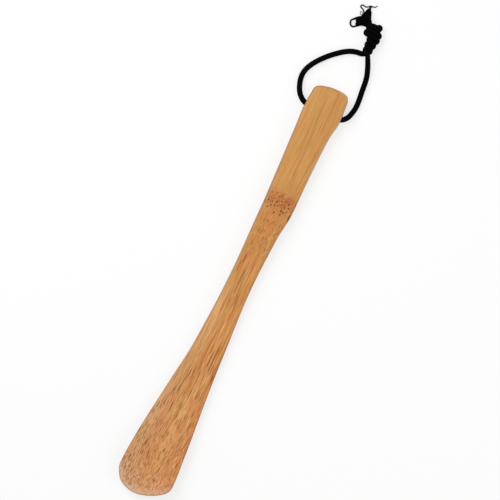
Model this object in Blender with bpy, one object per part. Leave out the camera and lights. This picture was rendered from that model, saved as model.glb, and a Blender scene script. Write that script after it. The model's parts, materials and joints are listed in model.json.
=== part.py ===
"""Bamboo shoe horn with a hanging loop of knotted cord.

The horn lies on its back with the scooped face up. +Y runs from the blade's tip to the
handle's end, +X is the right side seen from above, and Z is 0 at the back of the handle.
The cord goes through a bore drilled across the handle, and its two ends are tied together.
Lengths are in metres.
"""

import math

import bmesh
import bpy
import numpy as np
from mathutils import Vector

# Horn: the whole strip, and the widths of its outline
HORN_LENGTH = 0.350
HANDLE_TOP_WIDTH = 0.0292
HANDLE_END_WIDTH = 0.0312
SHOULDER_WIDTH = 0.0281
GRIP_WIDTH = 0.0256
NODE_WIDTH = 0.0245
NECK_WIDTH = 0.0220
WAIST_WIDTH = 0.0200
THROAT_WIDTH = 0.0256
BLADE_MIDDLE_WIDTH = 0.0328
BLADE_CHEEK_WIDTH = 0.0424
BLADE_WIDTH = 0.0450

# Where those widths are: from the handle's end, and for the blade from its tip
HANDLE_CORNER_AT = 0.0035
HANDLE_TOP_AT = 0.007
HANDLE_END_AT = 0.021
SHOULDER_AT = 0.038
GRIP_AT = 0.077
NODE_AT = 0.105
NECK_AT = 0.124
WAIST_AT = 0.162
THROAT_AT = 0.124
BLADE_MIDDLE_AT = 0.087
BLADE_CHEEK_AT = 0.040
BLADE_WIDTH_AT = 0.019
TIP_LEAN_FROM = 0.0123

# The bamboo isn't quite straight: how far the middle of the outline is to the right of the axis
HANDLE_CREST_LEAN = 0.0033
HANDLE_CORNER_LEAN = 0.0002
HANDLE_TOP_LEAN = -0.0004
HANDLE_END_LEAN = -0.0003
SHOULDER_LEAN = -0.0008
NODE_LEAN = 0.0008
THROAT_LEAN = 0.0007
CHEEK_LEAN = -0.0003
TIP_CREST_LEAN = -0.0030

# The two rounded ends, as quarters of superellipses: how deep they are, and their exponents
HANDLE_ROUND_DEPTH = 0.0083
HANDLE_ROUND_POWER = 2.4
TIP_ROUND_DEPTH = 0.0164
TIP_ROUND_POWER = 1.80
END_FLAT_SHARE = 0.004

# Thickness down the middle, and how much thinner the two long edges are
HANDLE_THICKNESS = 0.0100
WAIST_THICKNESS = 0.0088
THROAT_THICKNESS = 0.0064
BLADE_THICKNESS = 0.0032
TIP_THICKNESS = 0.0021
HANDLE_EDGE_THINNER = 0.0004
BLADE_EDGE_THINNER = 0.0012
EDGE_RADIUS = 0.0030
EDGE_ROUND_SHARE = 0.46

# The bevel round the tip's front: its width, how far it drops at the rim, and how far from the
# tip it has faded out
TIP_BEVEL_WIDTH = 0.0028
TIP_BEVEL_DROP = 0.0007
TIP_BEVEL_REACH = 0.018

# The back: flat under the handle, and the curve of the bamboo stem's outside under the blade
STEM_RADIUS = 0.045
FLAT_BACK_LENGTH = 0.132
ROUND_BACK_LENGTH = 0.095
TIP_RISE = 0.005
TIP_RISE_LENGTH = 0.080

# The cord, and the bore that it goes through
CORD_DIAMETER = 0.0043
BORE_CLEARANCE = 0.0006
BORE_FROM_END = 0.020
BORE_MOUTH_RADIUS = 0.0012
BORE_MOUTH_SWEEP = math.radians(60)
BORE_OVERCUT = 0.0010
JOIN_GAP = 0.0006
FLOOR_GAP = 0.0001

# The knot: the two ends wind round each other, flat on the surface that the horn lies on
KNOT_CORD_DIAMETER = 0.0034
KNOT_STRAND_GAP = 0.0007
KNOT_BASE_X = 0.0110
KNOT_BASE_FROM_BORE = 0.0560
KNOT_LEAN = math.radians(10)
KNOT_LENGTH = 0.0210
KNOT_TURNS = 2.45
KNOT_BASE_RUN = 0.0014
KNOT_TOP_RUN = 0.0033
KNOT_WIDENS_FROM = 0.30
KNOT_WIDENS_TO = 0.70
RIGHT_LEAVES_AT_TURN = 1.90

# How finely the forms are divided
EDGE_STEPS = 4
FACE_STEPS = 10
END_RINGS = 9
RING_STEP = 0.0062
BORE_SIDES = 32
MOUTH_STEPS = 4
CORD_STEP = 0.0020
CORD_BEVEL_STEPS = 3
WINDING_STEPS = 48
KNOT_STEP = 0.0010
KNOT_BEVEL_STEPS = 2
INSIDE_STEPS = 3
CURVE_STEPS = 16
RIM_WELD = 0.00005
SMOOTH_ANGLE = math.radians(40)

# Places worked out from the sizes above
HANDLE_END_Y = HORN_LENGTH / 2
TIP_Y = -HORN_LENGTH / 2
CORD_RADIUS = CORD_DIAMETER / 2
BORE_RADIUS = CORD_RADIUS + BORE_CLEARANCE
BORE_Y = HANDLE_END_Y - BORE_FROM_END
BORE_Z = HANDLE_THICKNESS / 2
CORD_REST_Z = CORD_RADIUS + FLOOR_GAP - BORE_Z
KNOT_CORD_RADIUS = KNOT_CORD_DIAMETER / 2
KNOT_TURN_RADIUS = KNOT_CORD_RADIUS + KNOT_STRAND_GAP / 2
KNOT_BACK_Z = KNOT_CORD_RADIUS + FLOOR_GAP - BORE_Z
KNOT_MIDDLE_Z = KNOT_BACK_Z + KNOT_TURN_RADIUS

# The cord as points chosen by hand: its bends at the bore's mouths, seen from each mouth, then
# its free stretches and its cut ends, seen from the bore's middle
LEFT_BEND = [
    (0.0024, 0.0000, 0.0000),
    (0.0001, 0.0003, 0.0000),
    (-0.0021, 0.0012, -0.0002),
    (-0.0042, 0.0026, -0.0006),
    (-0.0065, 0.0048, -0.0012),
    (-0.0086, 0.0080, -0.0018),
]
LEFT_ROUTE = [
    (-0.0260, 0.0116, -0.0024),
    (-0.0271, 0.0155, CORD_REST_Z),
    (-0.0274, 0.0199, CORD_REST_Z),
    (-0.0265, 0.0245, CORD_REST_Z),
    (-0.0245, 0.0289, CORD_REST_Z),
    (-0.0217, 0.0333, CORD_REST_Z),
    (-0.0182, 0.0377, CORD_REST_Z),
    (-0.0143, 0.0419, CORD_REST_Z),
    (-0.0101, 0.0457, CORD_REST_Z),
    (-0.0058, 0.0491, CORD_REST_Z),
    (-0.0012, 0.0517, CORD_REST_Z),
    (0.0033, 0.0531, CORD_REST_Z),
    (0.0069, 0.0536, CORD_REST_Z),
]
RIGHT_BEND = [
    (-0.0056, -0.0003, 0.0000),
    (-0.0034, -0.0004, 0.0000),
    (-0.0012, 0.0000, 0.0000),
    (0.0008, 0.0010, -0.0001),
    (0.0024, 0.0024, -0.0004),
    (0.0037, 0.0042, -0.0008),
    (0.0046, 0.0064, -0.0013),
    (0.0053, 0.0092, -0.0018),
]
RIGHT_ROUTE = [
    (0.0212, 0.0130, -0.0025),
    (0.0212, 0.0173, CORD_REST_Z),
    (0.0208, 0.0217, CORD_REST_Z),
    (0.0202, 0.0262, CORD_REST_Z),
    (0.0197, 0.0307, CORD_REST_Z),
    (0.0192, 0.0351, CORD_REST_Z),
    (0.0183, 0.0395, -0.0025),
    (0.0168, 0.0437, -0.0017),
    (0.0148, 0.0484, -0.0004),
]
LEFT_CUT_END = [
    (0.0050, 0.0770, 0.0006),
    (0.0018, 0.0806, -0.0012),
    (-0.0008, 0.0860, KNOT_BACK_Z),
]
RIGHT_CUT_END = [
    (0.0033, 0.0736, -0.0002),
    (0.0021, 0.0751, -0.0024),
    (-0.0014, 0.0762, KNOT_BACK_Z),
    (-0.0055, 0.0752, KNOT_BACK_Z),
]


def monotone(stations, at):
    """A smooth curve through (place, value) stations that never swings past a station's value."""
    places, values = zip(*sorted(stations))
    if at <= places[0]:
        return values[0]
    if at >= places[-1]:
        return values[-1]
    steps = [b - a for a, b in zip(places, places[1:])]
    rises = [(b - a) / step for a, b, step in zip(values, values[1:], steps)]
    slopes = [0.0]
    for before, after in zip(rises, rises[1:]):
        slopes.append(2 * before * after / (before + after) if before * after > 0 else 0.0)
    slopes.append(0.0)
    i = max(k for k in range(len(steps)) if places[k] <= at)
    t = (at - places[i]) / steps[i]
    start = values[i] * (1 + 2 * t) * (1 - t) ** 2 + slopes[i] * steps[i] * t * (1 - t) ** 2
    end = values[i + 1] * (3 - 2 * t) * t**2 + slopes[i + 1] * steps[i] * (t - 1) * t**2
    return start + end


def from_handle(distance):
    """The Y of a place that is this far from the handle's end."""
    return HANDLE_END_Y - distance


def from_tip(distance):
    """The Y of a place that is this far from the blade's tip."""
    return TIP_Y + distance


WIDTHS = [
    (from_handle(HANDLE_TOP_AT), HANDLE_TOP_WIDTH),
    (from_handle(HANDLE_END_AT), HANDLE_END_WIDTH),
    (from_handle(SHOULDER_AT), SHOULDER_WIDTH),
    (from_handle(GRIP_AT), GRIP_WIDTH),
    (from_handle(NODE_AT), NODE_WIDTH),
    (from_handle(NECK_AT), NECK_WIDTH),
    (from_handle(WAIST_AT), WAIST_WIDTH),
    (from_tip(THROAT_AT), THROAT_WIDTH),
    (from_tip(BLADE_MIDDLE_AT), BLADE_MIDDLE_WIDTH),
    (from_tip(BLADE_CHEEK_AT), BLADE_CHEEK_WIDTH),
    (from_tip(BLADE_WIDTH_AT), BLADE_WIDTH),
]
LEANS = [
    (HANDLE_END_Y, HANDLE_CREST_LEAN),
    (from_handle(HANDLE_CORNER_AT), HANDLE_CORNER_LEAN),
    (from_handle(HANDLE_TOP_AT), HANDLE_TOP_LEAN),
    (from_handle(HANDLE_END_AT), HANDLE_END_LEAN),
    (from_handle(SHOULDER_AT), SHOULDER_LEAN),
    (from_handle(GRIP_AT), 0.0),
    (from_handle(NODE_AT), NODE_LEAN),
    (from_handle(NECK_AT), 0.0),
    (from_handle(WAIST_AT), 0.0),
    (from_tip(THROAT_AT), THROAT_LEAN),
    (from_tip(BLADE_MIDDLE_AT), 0.0),
    (from_tip(BLADE_CHEEK_AT), CHEEK_LEAN),
    (from_tip(TIP_LEAN_FROM), 0.0),
    (TIP_Y, TIP_CREST_LEAN),
]
THICKNESSES = [
    (from_handle(NODE_AT), HANDLE_THICKNESS),
    (from_handle(WAIST_AT), WAIST_THICKNESS),
    (from_tip(THROAT_AT), THROAT_THICKNESS),
    (from_tip(BLADE_CHEEK_AT), BLADE_THICKNESS),
    (TIP_Y, TIP_THICKNESS),
]
EDGES_THINNER = [
    (from_handle(NECK_AT), HANDLE_EDGE_THINNER),
    (from_tip(BLADE_MIDDLE_AT), BLADE_EDGE_THINNER),
    (TIP_Y, HANDLE_EDGE_THINNER),
]
BACK_ROUNDNESS = [
    (from_handle(FLAT_BACK_LENGTH), 0.0),
    (from_tip(ROUND_BACK_LENGTH), 1.0),
]


def end_rounding(distance, depth, power):
    """The share of the full width that is left this far from a rounded end."""
    if distance >= depth:
        return 1.0
    inward = 1 - max(distance / depth, END_FLAT_SHARE)
    return (1 - inward**power) ** (1 / power)


def outline(y):
    """The left and right edge of the horn, seen from above."""
    half = monotone(WIDTHS, y) / 2
    half *= end_rounding(HANDLE_END_Y - y, HANDLE_ROUND_DEPTH, HANDLE_ROUND_POWER)
    half *= end_rounding(y - TIP_Y, TIP_ROUND_DEPTH, TIP_ROUND_POWER)
    middle = monotone(LEANS, y)
    return middle - half, middle + half


def back_height(x, y):
    """The back face: flat under the handle, round like the bamboo stem under the blade."""
    offset = x - monotone(LEANS, y)
    crown = STEM_RADIUS - math.sqrt(STEM_RADIUS**2 - offset**2)
    rise = TIP_RISE * max(0.0, 1 - (y - TIP_Y) / TIP_RISE_LENGTH) ** 2
    return crown * monotone(BACK_ROUNDNESS, y) + rise


def front_height(x, y):
    """The front face: a little crowned on the handle, scooped on the blade."""
    middle, half = monotone(LEANS, y), monotone(WIDTHS, y) / 2
    at_middle = back_height(middle, y) + monotone(THICKNESSES, y)
    edge_thickness = monotone(THICKNESSES, y) - monotone(EDGES_THINNER, y)
    at_edge = back_height(middle + half, y) + edge_thickness
    return at_middle + (at_edge - at_middle) * ((x - middle) / half) ** 2


def ring_places():
    """The Y of each cross-section: close together in the rounded ends, then evenly spaced."""
    near_end = [1 - math.cos(math.pi / 2 * k / END_RINGS) for k in range(END_RINGS + 1)]
    tip_part = [from_tip(TIP_ROUND_DEPTH * share) for share in near_end]
    handle_part = [from_handle(HANDLE_ROUND_DEPTH * share) for share in reversed(near_end)]
    span = handle_part[0] - tip_part[-1]
    count = max(2, round(span / RING_STEP))
    between = [tip_part[-1] + span * k / count for k in range(1, count)]
    return tip_part + between + handle_part


def distance_to_outline(points, places):
    """How far inside the outline each (x, y) point is."""
    edges = [outline(y) for y in places]
    loop = [(left, y) for (left, _), y in zip(edges, places)]
    loop += [(right, y) for (_, right), y in reversed(list(zip(edges, places)))]
    start = np.array(loop)
    run = np.roll(start, -1, axis=0) - start
    found = []
    for point in points:
        along = ((point - start) * run).sum(1) / (run * run).sum(1)
        nearest = start + np.clip(along, 0, 1)[:, None] * run
        found.append(float(np.linalg.norm(nearest - point, axis=1).min()))
    return found


def across(y):
    """The X of the points across the horn: close together where the edges are rounded."""
    left, right = outline(y)
    middle, half = (left + right) / 2, (right - left) / 2
    arc = [EDGE_RADIUS * (1 - math.cos(math.pi / 2 * k / EDGE_STEPS)) for k in range(EDGE_STEPS)]
    most = [half * k / (EDGE_STEPS + FACE_STEPS / 2) for k in range(EDGE_STEPS)]
    edge = [min(a, b) for a, b in zip(arc, most)]
    inner = half - min(EDGE_RADIUS, half * EDGE_STEPS / (EDGE_STEPS + FACE_STEPS / 2))
    face = [inner * (2 * k / FACE_STEPS - 1) for k in range(FACE_STEPS + 1)]
    offsets = [inset - half for inset in edge] + face + [half - inset for inset in reversed(edge)]
    return [middle + offset for offset in offsets]


def bevelled(depth, y):
    """How far the bevel round the tip has lowered the front face at this depth inside its edge."""
    fading = min(1.0, max(0.0, 1 - (y - TIP_Y) / TIP_BEVEL_REACH))
    return TIP_BEVEL_DROP * fading * max(0.0, 1 - depth / TIP_BEVEL_WIDTH)


def rounded(depth, radius):
    """How far a face has dropped at this depth inside an edge of this radius."""
    if depth >= radius:
        return 0.0
    return radius - math.sqrt(radius**2 - (radius - depth) ** 2)


def make_horn(material):
    """The horn, lofted through its cross-sections, with the cord's bore cut across the handle."""
    places = ring_places()
    mesh = bmesh.new()
    rings = []
    for y in places:
        xs = across(y)
        depths = distance_to_outline([np.array((x, y)) for x in xs], places)
        front, back = [], []
        for x, depth in zip(xs, depths):
            high, low = front_height(x, y) - bevelled(depth, y), back_height(x, y)
            drop = rounded(depth, min(EDGE_RADIUS, EDGE_ROUND_SHARE * (high - low)))
            front.append(mesh.verts.new((x, y, high - drop)))
            back.append(mesh.verts.new((x, y, low + drop)))
        rings.append(front + back[::-1])
    for ring, following in zip(rings, rings[1:]):
        for k in range(len(ring)):
            after = (k + 1) % len(ring)
            mesh.faces.new((ring[k], ring[after], following[after], following[k]))
    for ring in (rings[0], rings[-1]):
        for k in range(len(ring) // 2 - 1):
            mesh.faces.new((ring[k], ring[k + 1], ring[-k - 2], ring[-k - 1]))
    bmesh.ops.recalc_face_normals(mesh, faces=mesh.faces)
    horn = add_mesh("horn", mesh, material)
    cutter = make_bore_cutter()
    bore = horn.modifiers.new("cord bore", "BOOLEAN")
    bore.operation = "DIFFERENCE"
    bore.solver = "EXACT"
    bore.object = cutter
    weld = horn.modifiers.new("bore rim", "WELD")
    weld.merge_threshold = RIM_WELD
    return horn


def make_bore_cutter():
    """The drill's form: a straight bore that rounds out where it meets the handle's sides."""
    left, right = outline(BORE_Y)
    mouth = []
    for k in range(MOUTH_STEPS + 1):
        angle = BORE_MOUTH_SWEEP * k / MOUTH_STEPS
        depth = BORE_MOUTH_RADIUS * (1 - math.sin(angle))
        mouth.append((depth, BORE_RADIUS + BORE_MOUTH_RADIUS * (1 - math.cos(angle))))
    depth, radius = mouth[-1]
    mouth.append((-BORE_OVERCUT, radius + (depth + BORE_OVERCUT) * math.tan(BORE_MOUTH_SWEEP)))
    profile = []
    profile += [(left + depth, radius) for depth, radius in reversed(mouth)]
    profile += [(right - depth, radius) for depth, radius in mouth]
    mesh = bmesh.new()
    rings = []
    for x, radius in profile:
        turns = [2 * math.pi * k / BORE_SIDES for k in range(BORE_SIDES)]
        rings.append(
            [mesh.verts.new((x, radius * math.cos(a), radius * math.sin(a))) for a in turns]
        )
    for ring, following in zip(rings, rings[1:]):
        for k in range(BORE_SIDES):
            after = (k + 1) % BORE_SIDES
            mesh.faces.new((ring[k], ring[after], following[after], following[k]))
    mesh.faces.new(reversed(rings[0]))
    mesh.faces.new(rings[-1])
    bmesh.ops.recalc_face_normals(mesh, faces=mesh.faces)
    cutter = add_mesh("bore_cutter", mesh, None)
    cutter.location = (0, BORE_Y, BORE_Z)
    cutter.hide_render = True
    cutter.display_type = "WIRE"
    return cutter


def through(points, step):
    """Points about one step apart on a smooth curve through the given ones."""
    points = [Vector(p) for p in points]
    points = [2 * points[0] - points[1], *points, 2 * points[-1] - points[-2]]
    fine = []
    for before, start, end, after in zip(points, points[1:], points[2:], points[3:]):
        gaps = [math.sqrt((b - a).length) for a, b in ((before, start), (start, end), (end, after))]
        lead = (start - before) / gaps[0] - (end - before) / (gaps[0] + gaps[1])
        lead = (lead + (end - start) / gaps[1]) * gaps[1]
        tail = (end - start) / gaps[1] - (after - start) / (gaps[1] + gaps[2])
        tail = (tail + (after - end) / gaps[2]) * gaps[1]
        for k in range(CURVE_STEPS):
            t = k / CURVE_STEPS
            rest = 1 - t
            here = start * (1 + 2 * t) * rest**2 + end * (3 - 2 * t) * t**2
            fine.append(here + lead * t * rest**2 - tail * rest * t**2)
    fine.append(points[-2])
    return spaced(fine, step)


def spaced(points, step):
    """The same line, with its points as near to one step apart as fits its length."""
    places = [0.0]
    for a, b in zip(points, points[1:]):
        places.append(places[-1] + (b - a).length)
    count = max(2, round(places[-1] / step))
    found, i = [], 0
    for k in range(count + 1):
        at = places[-1] * k / count
        while i < len(points) - 2 and places[i + 1] < at:
            i += 1
        share = (at - places[i]) / (places[i + 1] - places[i])
        found.append(points[i].lerp(points[i + 1], min(1.0, share)))
    return found


def round_the_flat(turn, run):
    """X and Z after this many turns round a flat loop: two straight runs joined by half circles."""
    arc = math.pi * KNOT_TURN_RADIUS
    whole = 4 * run + 2 * arc
    along = (turn * whole + run) % whole
    if along < 2 * run:
        return along - run, -KNOT_TURN_RADIUS
    if along < 2 * run + arc:
        angle = (along - 2 * run) / KNOT_TURN_RADIUS
        return run + KNOT_TURN_RADIUS * math.sin(angle), -KNOT_TURN_RADIUS * math.cos(angle)
    if along < 4 * run + arc:
        return 3 * run + arc - along, KNOT_TURN_RADIUS
    angle = (along - 4 * run - arc) / KNOT_TURN_RADIUS
    return -run - KNOT_TURN_RADIUS * math.sin(angle), KNOT_TURN_RADIUS * math.cos(angle)


def winding(first_turn, last_turn):
    """One strand's path up the knot, which widens toward its top."""
    points = []
    for k in range(WINDING_STEPS + 1):
        share = k / WINDING_STEPS
        turn = KNOT_TURNS * share
        if turn > last_turn:
            break
        widening = min(1.0, max(0.0, (share - KNOT_WIDENS_FROM) / (KNOT_WIDENS_TO - KNOT_WIDENS_FROM)))
        widening *= widening * (3 - 2 * widening)
        run = KNOT_BASE_RUN + (KNOT_TOP_RUN - KNOT_BASE_RUN) * widening
        across_knot, up = round_the_flat(first_turn + turn, run)
        x = KNOT_BASE_X + across_knot * math.cos(KNOT_LEAN) - KNOT_LENGTH * share * math.sin(KNOT_LEAN)
        y = KNOT_BASE_FROM_BORE + across_knot * math.sin(KNOT_LEAN)
        y += KNOT_LENGTH * share * math.cos(KNOT_LEAN)
        points.append((x, y, KNOT_MIDDLE_Z + up))
    return points


def least_gap(first, second):
    """The least clear space between two strands of the knot."""
    a = np.array([tuple(p) for p in first])
    b = np.array([tuple(p) for p in second])
    apart = np.linalg.norm(a[:, None] - b[None], axis=2)
    return float(apart.min()) - KNOT_CORD_DIAMETER


def least_gap_to_itself(strand):
    """The least clear space between one strand's turns, past where it only bends."""
    line = np.array([tuple(p) for p in strand])
    along = np.concatenate([[0], np.cumsum(np.linalg.norm(np.diff(line, axis=0), axis=1))])
    apart = np.linalg.norm(line[:, None] - line[None], axis=2)
    far_along = np.abs(along[:, None] - along[None]) > math.pi * KNOT_CORD_DIAMETER
    return float(apart[far_along].min()) - KNOT_CORD_DIAMETER


def make_tube(name, points, diameter, bevel, material):
    """A length of cord as a round tube with closed ends."""
    curve = bpy.data.curves.new(name, "CURVE")
    curve.dimensions = "3D"
    curve.bevel_depth = diameter / 2
    curve.bevel_resolution = bevel
    curve.use_fill_caps = True
    spline = curve.splines.new("POLY")
    spline.points.add(len(points) - 1)
    for point, place in zip(spline.points, points):
        point.co = (*place, 1.0)
    curve.materials.append(material)
    tube = bpy.data.objects.new(name, curve)
    bpy.context.scene.collection.objects.link(tube)
    return tube


def make_cord(material):
    """The cord's free stretches and its knotted ends, which swing together on the bore's axis."""
    axis = bpy.data.objects.new("bore_axis", None)
    axis.location = (0, BORE_Y, BORE_Z)
    bpy.context.scene.collection.objects.link(axis)
    left = [*winding(0.0, KNOT_TURNS), *LEFT_CUT_END]
    right = [*winding(0.5, RIGHT_LEAVES_AT_TURN), *RIGHT_CUT_END]
    left_mouth, right_mouth = outline(BORE_Y)
    knotted = []
    for side, mouth, bend, route, rest in (
        ("left", left_mouth, LEFT_BEND, LEFT_ROUTE, left),
        ("right", right_mouth, RIGHT_BEND, RIGHT_ROUTE, right),
    ):
        inside = [((mouth + bend[0][0]) * k / INSIDE_STEPS, 0.0, 0.0) for k in range(INSIDE_STEPS)]
        outside = [(mouth + x, y, z) for x, y, z in bend]
        whole = through([*inside, *outside, *route, *rest], KNOT_STEP)
        last = min(range(len(whole)), key=lambda k: (whole[k] - Vector(route[-1])).length)
        free = spaced(whole[: last + 1], CORD_STEP)
        end = whole[last:]
        free[0] += (free[1] - free[0]).normalized() * (JOIN_GAP / 2)
        end[0] += (end[1] - end[0]).normalized() * JOIN_GAP
        for name, points, diameter, bevel in (
            (f"cord_{side}", free, CORD_DIAMETER, CORD_BEVEL_STEPS),
            (f"knot_{side}_end", end, KNOT_CORD_DIAMETER, KNOT_BEVEL_STEPS),
        ):
            make_tube(name, points, diameter, bevel, material).parent = axis
        knotted.append(end)
    gaps = [least_gap(*knotted), *(least_gap_to_itself(path) for path in knotted)]
    print("least gaps in the knot, mm:", *(round(gap * 1000, 2) for gap in gaps))


def add_mesh(name, mesh, material):
    """A new object in the scene from a bmesh, smooth where it isn't sharp."""
    data = bpy.data.meshes.new(name)
    mesh.to_mesh(data)
    mesh.free()
    data.shade_smooth()
    data.set_sharp_from_angle(angle=SMOOTH_ANGLE)
    if material:
        data.materials.append(material)
    thing = bpy.data.objects.new(name, data)
    bpy.context.scene.collection.objects.link(thing)
    return thing


def make_material(name, colour, roughness):
    """A plain surface of one colour."""
    material = bpy.data.materials.new(name)
    material.use_nodes = True
    shader = material.node_tree.nodes["Principled BSDF"]
    shader.inputs["Base Color"].default_value = (*colour, 1.0)
    shader.inputs["Roughness"].default_value = roughness
    shader.inputs["Metallic"].default_value = 0.0
    return material


def main():
    for thing in list(bpy.data.objects):
        bpy.data.objects.remove(thing)
    make_horn(make_material("bamboo", (0.60, 0.29, 0.10), 0.45))
    make_cord(make_material("cord", (0.006, 0.006, 0.007), 0.85))


main()
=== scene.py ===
# %% [markdown]
# # A bamboo shoe horn on a loop of cord
#
# The real object is one strip of bamboo, 350 mm long. A blade at one end is scooped to take the
# back of a heel, and the flat handle at the other end is drilled across for a black braided cord.
# The cord's two ends are knotted together and have frayed into tufts.
#
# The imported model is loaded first. It fixes where everything is, and the pieces made here stand
# in its place with the fibres, the braid and the threads that a plain solid can't show.

import json
import math

import bmesh
import bpy
import numpy as np
from mathutils import Vector
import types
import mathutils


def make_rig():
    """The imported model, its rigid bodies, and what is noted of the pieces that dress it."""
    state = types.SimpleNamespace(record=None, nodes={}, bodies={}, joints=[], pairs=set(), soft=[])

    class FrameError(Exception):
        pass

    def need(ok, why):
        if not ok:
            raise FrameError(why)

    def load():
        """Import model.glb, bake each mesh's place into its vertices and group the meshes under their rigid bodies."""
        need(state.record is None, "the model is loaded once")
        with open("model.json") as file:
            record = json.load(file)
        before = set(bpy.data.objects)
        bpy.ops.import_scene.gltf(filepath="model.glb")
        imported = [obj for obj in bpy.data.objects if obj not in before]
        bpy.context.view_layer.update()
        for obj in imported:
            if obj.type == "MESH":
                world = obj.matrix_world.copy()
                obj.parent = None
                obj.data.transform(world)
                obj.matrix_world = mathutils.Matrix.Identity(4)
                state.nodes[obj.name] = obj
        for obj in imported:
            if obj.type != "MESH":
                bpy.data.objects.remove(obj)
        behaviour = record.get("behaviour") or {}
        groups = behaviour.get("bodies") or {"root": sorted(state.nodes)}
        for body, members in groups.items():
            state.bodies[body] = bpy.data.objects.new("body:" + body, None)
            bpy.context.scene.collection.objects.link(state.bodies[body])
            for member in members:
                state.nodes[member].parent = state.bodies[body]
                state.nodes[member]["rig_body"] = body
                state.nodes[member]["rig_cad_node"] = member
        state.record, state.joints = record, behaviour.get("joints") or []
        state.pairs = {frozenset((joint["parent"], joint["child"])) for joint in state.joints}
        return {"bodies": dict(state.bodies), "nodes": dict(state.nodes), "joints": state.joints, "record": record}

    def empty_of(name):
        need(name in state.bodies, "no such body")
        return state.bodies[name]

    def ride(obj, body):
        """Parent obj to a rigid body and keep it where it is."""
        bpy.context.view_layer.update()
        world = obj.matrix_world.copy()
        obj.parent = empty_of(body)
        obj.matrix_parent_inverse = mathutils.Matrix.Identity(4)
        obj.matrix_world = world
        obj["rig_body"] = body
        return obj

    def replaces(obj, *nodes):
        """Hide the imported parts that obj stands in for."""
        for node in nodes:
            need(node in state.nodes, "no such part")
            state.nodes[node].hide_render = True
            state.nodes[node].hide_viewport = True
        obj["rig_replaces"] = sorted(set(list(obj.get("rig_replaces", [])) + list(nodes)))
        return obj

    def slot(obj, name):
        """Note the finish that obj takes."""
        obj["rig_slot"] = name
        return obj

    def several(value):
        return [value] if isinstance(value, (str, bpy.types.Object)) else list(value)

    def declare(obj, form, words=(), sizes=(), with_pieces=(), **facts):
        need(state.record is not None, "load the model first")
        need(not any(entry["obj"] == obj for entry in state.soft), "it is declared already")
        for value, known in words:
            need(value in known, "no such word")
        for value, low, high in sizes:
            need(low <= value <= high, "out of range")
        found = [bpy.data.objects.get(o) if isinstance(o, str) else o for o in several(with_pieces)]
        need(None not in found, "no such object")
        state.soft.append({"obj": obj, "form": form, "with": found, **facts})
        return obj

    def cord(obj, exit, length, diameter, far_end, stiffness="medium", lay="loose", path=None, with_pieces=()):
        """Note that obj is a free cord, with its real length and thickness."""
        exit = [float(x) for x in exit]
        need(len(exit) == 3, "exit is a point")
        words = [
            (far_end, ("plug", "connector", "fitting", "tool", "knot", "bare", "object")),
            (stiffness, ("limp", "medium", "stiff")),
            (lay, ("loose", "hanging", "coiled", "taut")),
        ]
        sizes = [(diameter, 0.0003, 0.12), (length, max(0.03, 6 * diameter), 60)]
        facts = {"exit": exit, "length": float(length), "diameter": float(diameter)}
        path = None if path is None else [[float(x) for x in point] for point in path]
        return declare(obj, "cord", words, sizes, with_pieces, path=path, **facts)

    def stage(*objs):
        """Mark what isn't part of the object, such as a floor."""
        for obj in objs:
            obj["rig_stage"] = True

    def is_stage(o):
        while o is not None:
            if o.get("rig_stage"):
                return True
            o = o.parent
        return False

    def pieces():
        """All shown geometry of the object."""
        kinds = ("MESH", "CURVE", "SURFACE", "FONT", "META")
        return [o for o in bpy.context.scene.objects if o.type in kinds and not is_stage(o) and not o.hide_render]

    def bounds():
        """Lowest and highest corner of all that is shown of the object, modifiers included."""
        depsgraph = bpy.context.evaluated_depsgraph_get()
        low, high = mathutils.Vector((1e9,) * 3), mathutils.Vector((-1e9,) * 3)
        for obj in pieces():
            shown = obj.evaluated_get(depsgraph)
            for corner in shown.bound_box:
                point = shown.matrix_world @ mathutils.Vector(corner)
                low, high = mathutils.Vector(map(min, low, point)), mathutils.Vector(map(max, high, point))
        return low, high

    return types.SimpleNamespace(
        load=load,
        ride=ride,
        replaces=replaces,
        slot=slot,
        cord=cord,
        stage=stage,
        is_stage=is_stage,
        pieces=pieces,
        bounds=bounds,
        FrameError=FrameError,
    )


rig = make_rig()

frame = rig.load()
low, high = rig.bounds()
cad_box = [list(low), list(high)]
print("CAD box, mm:", [[round(c * 1000, 1) for c in corner] for corner in cad_box])

# %% [markdown]
# ## The camera
#
# The photograph looks straight down on the horn, with the blade toward the lower left. A camera
# with a long lens keeps the 10 mm thick handle and the thin blade at one scale. It could be
# tilted and shifted instead, but here the horn lies still and the camera turns about its own
# line of sight, by the angle between the horn and the picture's upright side.

# %% Camera
PICTURE_SIDE = 0.3880
LENS = 600.0
SENSOR = 36.0
LOOKED_AT = Vector((-0.0042, 0.0337, 0.005))
TURNED_BY = math.radians(25.99)

camera_data = bpy.data.cameras.new("camera")
camera_data.lens = LENS
camera_data.sensor_width = SENSOR
camera_data.clip_start = 0.05
camera = bpy.data.objects.new("camera", camera_data)
camera.location = LOOKED_AT + Vector((0, 0, PICTURE_SIDE * LENS / SENSOR))
camera.rotation_euler = (0, 0, TURNED_BY)
bpy.context.scene.collection.objects.link(camera)
bpy.context.scene.camera = camera
print("camera height, mm:", round(camera.location.z * 1000))

# %% [markdown]
# ## The horn's outline
#
# Seen from above, the horn swells at the handle's end, narrows to a waist and flares into the
# blade. A few widths, each at its own distance from an end, say all of that. A smooth curve
# joins them. An ordinary spline could swing past a width and make a bulge that isn't there, so
# the curve used here is one that never rises or falls beyond the values it joins.

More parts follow.
